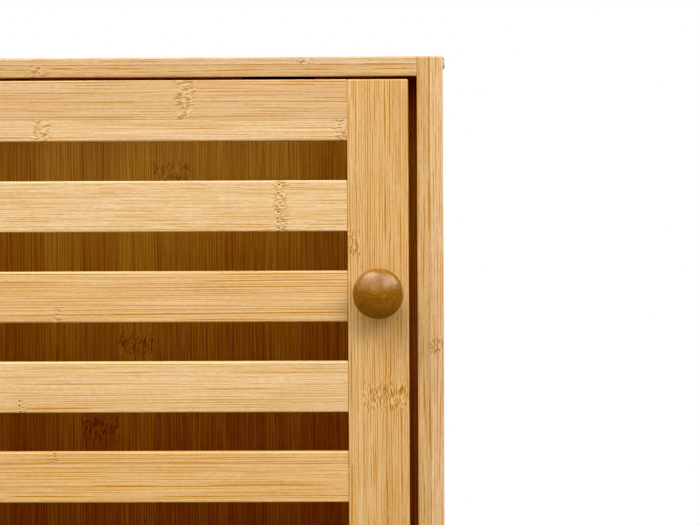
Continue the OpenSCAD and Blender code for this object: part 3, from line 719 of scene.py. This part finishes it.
hardware = {
    "platedSteel": [
        "shelf_pins", "catch_pole_plates", "strike_plate", "hinge_upper_frame_leaf", "hinge_upper_door_leaf",
        "hinge_lower_frame_leaf", "hinge_lower_door_leaf", "hinge_upper_pin", "hinge_lower_pin",
    ],
    "screwSteel": ["side_screws_left", "side_screws_right"],
    "magnetBlock": ["catch_magnet"],
    "catchPlastic": ["catch_housing"],
    "glidePlastic": ["foot_glides"],
    "dowelWood": ["dowels"],
}
for finish, names in hardware.items():
    for name in names:
        finishNode(name, finishes[finish])
print("hardware:", sum(len(names) for names in hardware.values()), "nodes")


# Turned pieces: each starts as a disc, and rings are drawn out of it along Z

def selectFaces(mesh, test):  # in edit mode, only the faces that pass the test
    chosen = [face for face in mesh.faces if test(face)]
    for face in mesh.faces:
        face.select_set(False)
    for face in chosen:
        face.select_set(True)
    mesh.select_flush_mode()


def turnPiece(name, rings, sides, bore=None):  # rings and bore: radius and height or depth in mm
    bpy.ops.object.select_all(action="DESELECT")
    radius, low = rings[0]
    bpy.ops.mesh.primitive_circle_add(vertices=sides, radius=radius * mm, fill_type="NGON",
                                      location=(0, 0, low * mm))
    piece = bpy.context.object
    piece.name = name
    bpy.ops.object.transform_apply(location=True)
    bpy.ops.object.mode_set(mode="EDIT")
    bpy.ops.mesh.select_mode(type="FACE")
    bpy.ops.mesh.select_all(action="SELECT")
    for wide, high in rings[1:]:
        bpy.ops.mesh.extrude_region_move(TRANSFORM_OT_translate={"value": (0, 0, (high - low) * mm)})
        if wide > 0:
            bpy.ops.transform.resize(value=(wide / radius, wide / radius, 1),
                                     center_override=(0, 0, high * mm))
            radius = wide
        else:
            bpy.ops.mesh.merge(type="CENTER")
        low = high
    if bore:  # a blind hole for a screw, from below
        foot = rings[0][1] * mm + tiny
        selectFaces(bmesh.from_edit_mesh(piece.data),
                lambda face: len(face.verts) == sides and face.calc_center_median().z < foot)
        bpy.ops.mesh.inset(thickness=(rings[0][0] - bore[0]) * mm, depth=0)
        bpy.ops.mesh.extrude_region_move(TRANSFORM_OT_translate={"value": (0, 0, bore[1] * mm)})
    bpy.ops.mesh.select_all(action="SELECT")
    bpy.ops.mesh.normals_make_consistent(inside=False)
    bpy.ops.object.mode_set(mode="OBJECT")
    return piece


def pick(piece):
    bpy.ops.object.select_all(action="DESELECT")
    piece.select_set(True)
    bpy.context.view_layer.objects.active = piece


def settle(piece, turn, place):  # turned and carried to its place, with the place in its mesh
    pick(piece)
    piece.rotation_euler = [math.radians(angle) for angle in turn]
    piece.location = place
    bpy.ops.object.transform_apply(location=True, rotation=True, scale=True)


def copyOf(piece, name):
    made = piece.copy()
    made.data = piece.data.copy()
    made.name = name
    bpy.context.collection.objects.link(made)
    return made


def joinPieces(name, parts):
    bpy.ops.object.select_all(action="DESELECT")
    for part in parts:
        part.select_set(True)
    bpy.context.view_layer.objects.active = parts[0]
    bpy.ops.object.join()
    parts[0].name = name
    return parts[0]


# The knob, turned from one piece of wood

turnedKnob = {
    "rings": [  # mm, radius and distance from the door's face
        (10.1, 0.0), (10.0, 0.35), (8.9, 1.0), (7.9, 2.0), (7.3, 3.2), (7.05, 4.4), (7.0, 5.0), (7.05, 5.6),
        (7.3, 6.8), (7.9, 8.0), (8.9, 9.0), (10.4, 9.75), (12.4, 10.05), (14.0, 10.35), (15.4, 11.0),
        (16.5, 12.0), (17.2, 13.2), (17.5, 14.6), (17.3, 16.0), (16.7, 17.2), (15.8, 18.2), (14.4, 19.2),
        (12.6, 20.25), (10.6, 21.2), (8.4, 22.1), (6.2, 22.85), (4.2, 23.4), (2.2, 23.8), (0.9, 23.95),
        (0, 24.0),
    ],
    "sides": 72,
    "bore": (2.1, 10.3),  # mm, radius and depth of the hole for its screw
    "smoothUnder": 50,  # degrees
}


def makeKnob():
    low, high = (Vector(corner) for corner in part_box("knob"))
    middle = (low + high) / 2
    knob = turnPiece("turnedKnob", turnedKnob["rings"], turnedKnob["sides"], turnedKnob["bore"])
    settle(knob, (90, 0, 0), (middle.x, high.y, middle.z))
    bpy.ops.object.shade_smooth_by_angle(angle=math.radians(turnedKnob["smoothUnder"]))
    knob.data.materials.append(finishes["stainedWood"])
    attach(knob, "door")
    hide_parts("knob")


makeKnob()
print("knob: turned")


# Screws with cross recesses; lengths in mm

crossScrews = {
    "sides": 32,
    "smoothUnder": 32,  # degrees
    "point": ((0.12, 0.0), (0.55, 1.0), (1.0, 2.2)),  # in shank radii: radius, and height over the tip
    "dome": ((1.0, 0.18), (0.93, 0.52), (0.76, 0.8), (0.5, 0.95), (0.2, 1.0)),  # of its radius and height
    "seat": {"neck": 0.98, "rim": 0.97, "rimDepth": 0.08},  # a countersunk head's underside
    "blade": {"over": 0.4, "taper": (0.36, 0.7)},  # how far it starts over the head, and how it narrows
    "flat": {
        "head": 5.2, "headDepth": 1.0, "shank": 2.6, "length": 10.0, "wing": 2.9, "web": 0.62, "recess": 1.25,
    },
    "strike": {
        "head": 5.2, "headDepth": 1.0, "shank": 2.6, "length": 9.0, "wing": 2.9, "web": 0.62, "recess": 1.25,
    },
    "pan": {
        "head": 5.6, "headHeight": 1.8, "shank": 2.6, "length": 9.0, "wing": 3.2, "web": 0.7, "recess": 1.3,
    },
    "knob": {
        "head": 8.0, "headHeight": 2.4, "shank": 4.0, "length": 24.0, "wing": 4.6, "web": 0.95, "recess": 1.8,
    },
    "hingeEnd": 12.0,  # from a hinge's ends to its screws
    "leaf": 1.0,  # thickness of a hinge leaf
}


def cutCross(screw, look, top):  # two tapered blades, cut out of the head
    start = top + crossScrews["blade"]["over"]
    deep = look["recess"] + crossScrews["blade"]["over"]
    narrow, thin = crossScrews["blade"]["taper"]
    for turn, taper in ((0, (narrow, thin, 1)), (90, (thin, narrow, 1))):
        bpy.ops.object.select_all(action="DESELECT")
        bpy.ops.mesh.primitive_plane_add(size=1, location=(0, 0, start * mm))
        blade = bpy.context.object
        blade.scale = (look["wing"] * mm, look["web"] * mm, 1)
        blade.rotation_euler = (0, 0, math.radians(turn))
        bpy.ops.object.transform_apply(location=True, rotation=True, scale=True)
        bpy.ops.object.mode_set(mode="EDIT")
        bpy.ops.mesh.select_all(action="SELECT")
        bpy.ops.mesh.extrude_region_move(TRANSFORM_OT_translate={"value": (0, 0, -deep * mm)})
        bpy.ops.transform.resize(value=taper, center_override=(0, 0, (start - deep) * mm))
        bpy.ops.mesh.select_all(action="SELECT")
        bpy.ops.mesh.normals_make_consistent(inside=False)
        bpy.ops.object.mode_set(mode="OBJECT")
        pick(screw)
        cut = screw.modifiers.new("recess", "BOOLEAN")
        cut.operation = "DIFFERENCE"
        cut.object = blade
        bpy.ops.object.modifier_apply(modifier=cut.name)
        bpy.data.objects.remove(blade)


def makeScrew(kind):  # along Z, with its point down and its seat at z = 0
    look = crossScrews[kind]
    shank, head = look["shank"] / 2, look["head"] / 2
    rings = [(shank * wide, -look["length"] + shank * high) for wide, high in crossScrews["point"]]
    if "headDepth" in look:  # countersunk, its face at z = 0
        seat = crossScrews["seat"]
        rings.append((shank, -look["headDepth"] * seat["neck"]))
        rings += [(head * seat["rim"], -seat["rimDepth"]), (head, 0.0)]
        top = 0.0
    else:  # domed, standing on z = 0
        top = look["headHeight"]
        rings += [(shank, 0.0), (head, 0.0)]
        rings += [(head * wide, top * high) for wide, high in crossScrews["dome"]]
    screw = turnPiece(kind + "Screw", rings, crossScrews["sides"])
    cutCross(screw, look, top)
    return screw


def placeScrews(name, kind, turn, spots, body, node):
    first = makeScrew(kind)
    copies = [copyOf(first, name + str(i)) for i in range(len(spots))]
    for piece, spot in zip(copies, spots):
        settle(piece, turn, spot)
    bpy.data.objects.remove(first)
    screws = joinPieces(name, copies)
    bpy.ops.object.shade_smooth_by_angle(angle=math.radians(crossScrews["smoothUnder"]))
    screws.data.materials.append(finishes["brightSteel"])
    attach(screws, body)
    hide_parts(node)


def makeHingeScrews():
    inset, leaf = crossScrews["hingeEnd"] * mm, crossScrews["leaf"] * mm
    low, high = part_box("hinge_screws_frame")
    y = (low[1] + high[1]) / 2
    frameSpots, doorSpots = [], []
    for level in ("upper", "lower"):
        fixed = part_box("hinge_" + level + "_frame_leaf")
        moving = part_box("hinge_" + level + "_door_leaf")
        for z in (fixed[0][2] + inset, fixed[1][2] - inset):
            frameSpots.append((fixed[0][0] + leaf, y, z))
            doorSpots.append((moving[1][0] - leaf, y, z))
    placeScrews("hingeScrewsFrame", "flat", (0, 90, 0), frameSpots, "carcass", "hinge_screws_frame")
    placeScrews("hingeScrewsDoor", "flat", (0, -90, 0), doorSpots, "door", "hinge_screws_door")


def makeOtherScrews():
    low, high = (Vector(corner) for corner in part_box("strike_screws"))
    rim = crossScrews["strike"]["head"] / 2 * mm
    spots = [(x, high.y, (low.z + high.z) / 2) for x in (low.x + rim, high.x - rim)]
    placeScrews("strikeScrews", "strike", (-90, 0, 0), spots, "door", "strike_screws")
    low, high = (Vector(corner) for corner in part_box("catch_screws"))
    rim = crossScrews["pan"]["head"] / 2 * mm
    z = low.z + crossScrews["pan"]["headHeight"] * mm
    spots = [(x, (low.y + high.y) / 2, z) for x in (low.x + rim, high.x - rim)]
    placeScrews("catchScrews", "pan", (180, 0, 0), spots, "carcass", "catch_screws")
    low, high = (Vector(corner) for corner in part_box("knob_screw"))
    y = high.y - crossScrews["knob"]["headHeight"] * mm
    spots = [((low.x + high.x) / 2, y, (low.z + high.z) / 2)]
    placeScrews("knobScrew", "knob", (-90, 0, 0), spots, "door", "knob_screw")


makeHingeScrews()
makeOtherScrews()
print("screws: cut and placed")


# Stage and light

stage = {
    "radius": 9.0,
    "sides": 96,
    "drop": 0.4,  # mm, under the cabinet
    "grit": 60,  # to a metre
    "tones": [(0.3, (240, 240, 239)), (0.7, (246, 246, 245))],
    "roughness": 0.8,
    "white": (0.9, 2.3),  # metres from the middle, where it turns into the white surround
    "bounce": (124, 122, 118),  # what it throws back on the cabinet
}


def makeFloor():
    bpy.ops.object.select_all(action="DESELECT")
    bpy.ops.mesh.primitive_circle_add(vertices=stage["sides"], radius=stage["radius"], fill_type="NGON",
                                      location=(0, 0, -stage["drop"] * mm))
    floor = bpy.context.object
    floor.name = "floor"
    bpy.ops.object.transform_apply(location=True)
    material, tree, shader = newMaterial("paleFloor")
    place = ownPlace(tree)
    reach = put(tree, "ShaderNodeVectorMath", {0: place}, operation="LENGTH").outputs["Value"]
    grit = noise(tree, scaled(tree, place, stage["grit"]), detail=3.0)
    shade = ramp(tree, grit, stage["tones"])
    tree.links.new(shade, shader.inputs["Base Color"])
    shader.inputs["Roughness"].default_value = stage["roughness"]
    glow = put(tree, "ShaderNodeEmission", {"Color": (1, 1, 1, 1), "Strength": 1.0})
    share = fade(tree, reach, *stage["white"])
    lifted = put(tree, "ShaderNodeMixShader", {0: share, 1: shader.outputs[0], 2: glow.outputs[0]})
    dim = put(tree, "ShaderNodeBsdfDiffuse", {"Color": paint(*stage["bounce"])})
    seen = put(tree, "ShaderNodeLightPath").outputs["Is Camera Ray"]
    mixed = put(tree, "ShaderNodeMixShader", {0: seen, 1: dim.outputs[0], 2: lifted.outputs[0]})
    tree.links.new(mixed.outputs[0], tree.nodes["Material Output"].inputs[0])
    floor.data.materials.append(material)


lights = {
    "key": {"place": (2.2, -1.95, 2.75), "size": (2.8, 2.0), "watts": 103, "aim": (0.1, 0.0, 0.5)},
    "front": {"place": (-1.6, -2.5, 2.3), "size": (4.4, 2.4), "watts": 43, "aim": (0.0, 0.0, 0.6)},
    "above": {"place": (-0.9, -1.3, 2.9), "size": (2.0, 0.9), "watts": 54, "aim": (0.1, -0.1, 0.5)},
    "top": {"place": (0.2, 0.3, 2.4), "size": (1.8, 1.2), "watts": 8, "aim": (0.1, 0.0, 0.5)},
    "right": {"place": (2.2, 1.5, 0.9), "size": (1.4, 1.8), "watts": 44, "aim": (0.2, 0.0, 0.4)},
    "insideLeft": {  # under the top panel, for what comes in between the slats
        "place": (-0.09, 0.015, 0.672), "size": (0.12, 0.1), "watts": 0.22, "aim": (-0.09, 0.035, 0.4),
    },
    "insideRight": {
        "place": (0.06, 0.052, 0.672), "size": (0.14, 0.1), "watts": 0.137, "aim": (0.06, 0.072, 0.4),
    },
}
room = {"seen": 1.0, "felt": 0.12}  # brightness of the white surround, as seen and as it lights


def makeLights():
    for name, lamp in lights.items():
        bpy.ops.object.light_add(type="AREA", location=lamp["place"])
        light = bpy.context.object
        light.name = name + "Light"
        light.data.shape = "RECTANGLE"
        light.data.size, light.data.size_y = lamp["size"]
        light.data.energy = lamp["watts"]
        toward = Vector(lamp["aim"]) - Vector(lamp["place"])
        light.rotation_euler = toward.to_track_quat("-Z", "Y").to_euler()
        light.visible_camera = False
    world = bpy.data.worlds.new("whiteRoom")
    bpy.context.scene.world = world
    world.use_nodes = True
    tree = world.node_tree
    tree.nodes.clear()
    seen = put(tree, "ShaderNodeLightPath").outputs["Is Camera Ray"]
    strength = fade(tree, seen, 0.0, 1.0, room["felt"], room["seen"], smooth=False)
    sky = put(tree, "ShaderNodeBackground", {"Color": (1, 1, 1, 1), "Strength": strength})
    put(tree, "ShaderNodeOutputWorld", {0: sky.outputs[0]})


makeFloor()
makeLights()
print("stage: floor and lights")
